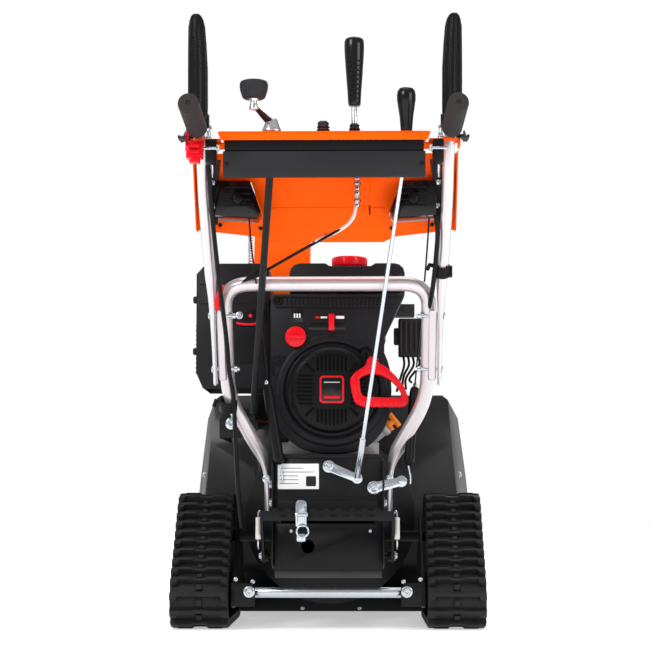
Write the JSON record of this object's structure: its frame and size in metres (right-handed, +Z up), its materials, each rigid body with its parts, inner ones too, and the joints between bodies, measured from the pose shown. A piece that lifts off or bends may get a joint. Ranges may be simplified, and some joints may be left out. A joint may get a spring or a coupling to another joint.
{
  "type": "two stage snowblower",
  "caption": "Tracked two stage snowblower: bucket with ribbon auger, impeller, turning chute, petrol engine, tube handlebar with dash, clutch levers and lamps.",
  "frame": {"origin": "on the ground, at the middle of the machine's footprint: bottom centre of the bounding box", "axes": "+Z up, +Y forward from the grips to the bucket, +X to the operator's right"},
  "size_m": [0.7436, 1.48, 1.208],
  "materials": {
    "orange_paint": "gloss powder coat",
    "black_paint": "satin powder coat",
    "grey_paint": "metallic grey, satin",
    "black_plastic": "fine texture",
    "rubber": "matt",
    "silver_tube": "silver satin lacquer",
    "zinc_steel": "bright zinc plate",
    "red_plastic": "gloss",
    "cast_aluminium": "die cast",
    "cast_iron": "machined grooves",
    "amber_plastic": "gloss",
    "lamp_plastic": "gloss"
  },
  "bodies": {
    "track_frame": {"track_frame_left": "black_paint", "track_frame_right": "black_paint", "cross_tube": "zinc_steel", "track_belt_left": "rubber", "track_belt_right": "rubber"},
    "chassis": {"chassis_box": "black_paint", "rear_cover": "black_paint", "bucket": "grey_paint", "scraper_bar": "black_paint", "skid_shoe_left": "black_paint", "skid_shoe_right": "black_paint", "belt_cover": "black_plastic", "engine_block": "cast_aluminium", "engine_shroud": "black_plastic", "recoil_cover": "black_plastic", "fuel_tank": "black_plastic", "intake_box": "black_plastic", "muffler": "zinc_steel", "handle_frame": "silver_tube", "handle_tube_left": "silver_tube", "handle_tube_right": "silver_tube", "grip_left": "rubber", "grip_right": "rubber", "dash_panel": "orange_paint", "dash_box": "black_paint", "fairing": "orange_paint", "headlight_left": "lamp_plastic", "headlight_right": "lamp_plastic", "auger_gearbox": "cast_aluminium"},
    "rear_idler_left": {"rear_idler_left": "black_plastic"},
    "rear_idler_right": {"rear_idler_right": "black_plastic"},
    "front_idler_left": {"front_idler_left": "black_plastic"},
    "front_idler_right": {"front_idler_right": "black_plastic"},
    "drive_sprocket_left": {"drive_sprocket_left": "black_paint"},
    "drive_sprocket_right": {"drive_sprocket_right": "black_paint"},
    "oil_cap": {"oil_cap": "amber_plastic"},
    "fuel_cap": {"fuel_cap": "red_plastic"},
    "choke_knob": {"choke_knob": "red_plastic"},
    "throttle_slider": {"throttle_slider": "red_plastic"},
    "recoil_handle": {"recoil_handle": "red_plastic"},
    "crank_pulley": {"crank_pulley": "cast_iron"},
    "impeller": {"impeller": "black_paint"},
    "auger": {"auger": "black_paint"},
    "chute": {"chute": "orange_paint"},
    "deflector": {"deflector": "orange_paint"},
    "crank_knob": {"crank_knob": "black_plastic"},
    "worm_shaft": {"worm_shaft": "black_paint"},
    "deflector_lever": {"deflector_lever": "black_plastic"},
    "speed_lever": {"speed_lever": "black_plastic"},
    "speed_rod": {"speed_rod": "zinc_steel"},
    "speed_arm": {"speed_arm": "zinc_steel"},
    "auger_arm": {"auger_arm": "zinc_steel"},
    "drive_lever": {"drive_lever": "black_plastic"},
    "auger_lever": {"auger_lever": "black_plastic"},
    "foot_pedal": {"foot_pedal": "black_paint"},
    "release_lever": {"release_lever": "red_plastic"},
    "steering_trigger_left": {"steering_trigger_left": "black_paint"},
    "steering_trigger_right": {"steering_trigger_right": "black_paint"},
    "chute_crank": {"chute_crank": "zinc_steel"},
    "crank_rod": {"crank_rod": "black_paint"}
  },
  "joints": [
    {"name": "height_adjust", "type": "hinge", "parent": "track_frame", "child": "chassis", "pos_m": [0, 0.07, 0.19], "axis": [1, 0, 0], "range_deg": [0, 8]},
    {"name": "sprocket_turn_left", "type": "hinge", "parent": "chassis", "child": "drive_sprocket_left", "pos_m": [-0.268, 0.07, 0.19], "axis": [1, 0, 0], "continuous": true},
    {"name": "rear_idler_turn_left", "type": "hinge", "parent": "track_frame", "child": "rear_idler_left", "pos_m": [-0.268, -0.118, 0.062], "axis": [1, 0, 0], "continuous": true},
    {"name": "front_idler_turn_left", "type": "hinge", "parent": "track_frame", "child": "front_idler_left", "pos_m": [-0.268, 0.248, 0.062], "axis": [1, 0, 0], "continuous": true},
    {"name": "sprocket_turn_right", "type": "hinge", "parent": "chassis", "child": "drive_sprocket_right", "pos_m": [0.268, 0.07, 0.19], "axis": [1, 0, 0], "continuous": true},
    {"name": "rear_idler_turn_right", "type": "hinge", "parent": "track_frame", "child": "rear_idler_right", "pos_m": [0.268, -0.118, 0.062], "axis": [1, 0, 0], "continuous": true},
    {"name": "front_idler_turn_right", "type": "hinge", "parent": "track_frame", "child": "front_idler_right", "pos_m": [0.268, 0.248, 0.062], "axis": [1, 0, 0], "continuous": true},
    {"name": "impeller_turn", "type": "hinge", "parent": "chassis", "child": "impeller", "pos_m": [0, 0.26, 0.228], "axis": [0, 1, 0], "continuous": true},
    {"name": "auger_turn", "type": "hinge", "parent": "chassis", "child": "auger", "pos_m": [0, 0.545, 0.228], "axis": [1, 0, 0], "continuous": true},
    {"name": "crankshaft_turn", "type": "hinge", "parent": "chassis", "child": "crank_pulley", "pos_m": [0, 0.13, 0.5], "axis": [0, 1, 0], "continuous": true},
    {"name": "chute_turn", "type": "hinge", "parent": "chassis", "child": "chute", "pos_m": [-0.112, 0.262, 0.44], "axis": [0, 0, 1], "range_deg": [-100, 100]},
    {"name": "crank_turn", "type": "hinge", "parent": "chassis", "child": "chute_crank", "pos_m": [-0.099, -0.6, 0.965], "axis": [0, 0, 1], "range_deg": [-1000, 1000]},
    {"name": "crank_rod_turn", "type": "hinge", "parent": "chassis", "child": "crank_rod", "pos_m": [-0.155, -0.19, 0.449], "axis": [0.0874, -0.64, 0.7634], "range_deg": [-1000, 1000]},
    {"name": "worm_turn", "type": "hinge", "parent": "chassis", "child": "worm_shaft", "pos_m": [-0.158, -0.168, 0.44], "axis": [-0.111, 0.9934, 0.0292], "range_deg": [-1000, 1000]},
    {"name": "crank_knob_spin", "type": "hinge", "parent": "chute_crank", "child": "crank_knob", "pos_m": [-0.132, -0.63, 1.02], "axis": [0, 0, 1], "continuous": true},
    {"name": "deflector_tilt", "type": "hinge", "parent": "chute", "child": "deflector", "pos_m": [-0.112, 0.32402, 0.98635], "axis": [1, 0, 0], "range_deg": [-26, 15]},
    {"name": "deflector_lever_tilt", "type": "hinge", "parent": "chassis", "child": "deflector_lever", "pos_m": [0.057, -0.53, 0.925], "axis": [1, 0, 0], "range_deg": [-15, 7.5]},
    {"name": "speed_lever_tilt", "type": "hinge", "parent": "chassis", "child": "speed_lever", "pos_m": [0.157, -0.53, 0.925], "axis": [1, 0, 0], "range_deg": [-15, 15]},
    {"name": "speed_rod_push", "type": "slide", "parent": "chassis", "child": "speed_rod", "axis": [-0.1255, 0.5433, -0.8301], "range_m": [-0.009, 0.009]},
    {"name": "speed_arm_turn", "type": "hinge", "parent": "chassis", "child": "speed_arm", "pos_m": [0.002, -0.156, 0.338], "axis": [0, 1, 0], "range_deg": [-7.2, 7.2]},
    {"name": "drive_lever_squeeze", "type": "hinge", "parent": "chassis", "child": "drive_lever", "pos_m": [-0.238, -0.528, 0.985], "axis": [1, 0, 0], "range_deg": [0, 78]},
    {"name": "auger_lever_squeeze", "type": "hinge", "parent": "chassis", "child": "auger_lever", "pos_m": [0.238, -0.528, 0.985], "axis": [1, 0, 0], "range_deg": [0, 78]},
    {"name": "auger_arm_turn", "type": "hinge", "parent": "chassis", "child": "auger_arm", "pos_m": [0.096, -0.156, 0.294], "axis": [0, 1, 0], "range_deg": [-16, 0]},
    {"name": "pedal_press", "type": "hinge", "parent": "chassis", "child": "foot_pedal", "pos_m": [0, -0.13, 0.152], "axis": [1, 0, 0], "range_deg": [0, 12]},
    {"name": "release_lever_pull", "type": "hinge", "parent": "chassis", "child": "release_lever", "pos_m": [-0.26, -0.582, 0.968], "axis": [1, 0, 0], "range_deg": [-18, 0]},
    {"name": "steering_squeeze_left", "type": "hinge", "parent": "chassis", "child": "steering_trigger_left", "pos_m": [-0.262, -0.562, 0.96], "axis": [1, 0, 0], "range_deg": [-9, 0]},
    {"name": "steering_squeeze_right", "type": "hinge", "parent": "chassis", "child": "steering_trigger_right", "pos_m": [0.262, -0.562, 0.96], "axis": [1, 0, 0], "range_deg": [-9, 0]},
    {"name": "recoil_pull", "type": "slide", "parent": "chassis", "child": "recoil_handle", "axis": [0, -1, 0], "range_m": [0, 0.085]},
    {"name": "fuel_cap_turn", "type": "hinge", "parent": "chassis", "child": "fuel_cap", "pos_m": [0.045, 0.02, 0.79], "axis": [0, 0, 1], "range_deg": [0, 90]},
    {"name": "oil_cap_turn", "type": "hinge", "parent": "chassis", "child": "oil_cap", "pos_m": [0.126, -0.008, 0.428], "axis": [0.7779, 0, 0.6283], "continuous": true},
    {"name": "choke_turn", "type": "hinge", "parent": "chassis", "child": "choke_knob", "pos_m": [-0.069, -0.12, 0.613], "axis": [0, 1, 0], "range_deg": [0, 75]},
    {"name": "throttle_move", "type": "slide", "parent": "chassis", "child": "throttle_slider", "axis": [1, 0, 0], "range_m": [-0.012, 0.012]}
  ],
  "couplings": [
    {"joint": "rear_idler_turn_left", "follows": "sprocket_turn_left", "ratio": 1.825},
    {"joint": "front_idler_turn_left", "follows": "sprocket_turn_left", "ratio": 1.825},
    {"joint": "rear_idler_turn_right", "follows": "sprocket_turn_right", "ratio": 1.825},
    {"joint": "front_idler_turn_right", "follows": "sprocket_turn_right", "ratio": 1.825},
    {"joint": "auger_turn", "follows": "impeller_turn", "ratio": 0.1},
    {"joint": "crank_turn", "follows": "chute_turn", "ratio": 10},
    {"joint": "crank_rod_turn", "follows": "chute_turn", "ratio": 10},
    {"joint": "worm_turn", "follows": "chute_turn", "ratio": -10},
    {"joint": "deflector_lever_tilt", "follows": "deflector_tilt", "ratio": 0.5},
    {"joint": "speed_rod_push", "follows": "speed_lever_tilt", "m_per_rad": 0.0337},
    {"joint": "speed_arm_turn", "follows": "speed_lever_tilt", "ratio": 0.475},
    {"joint": "auger_arm_turn", "follows": "auger_lever_squeeze", "ratio": -0.2}
  ]
}
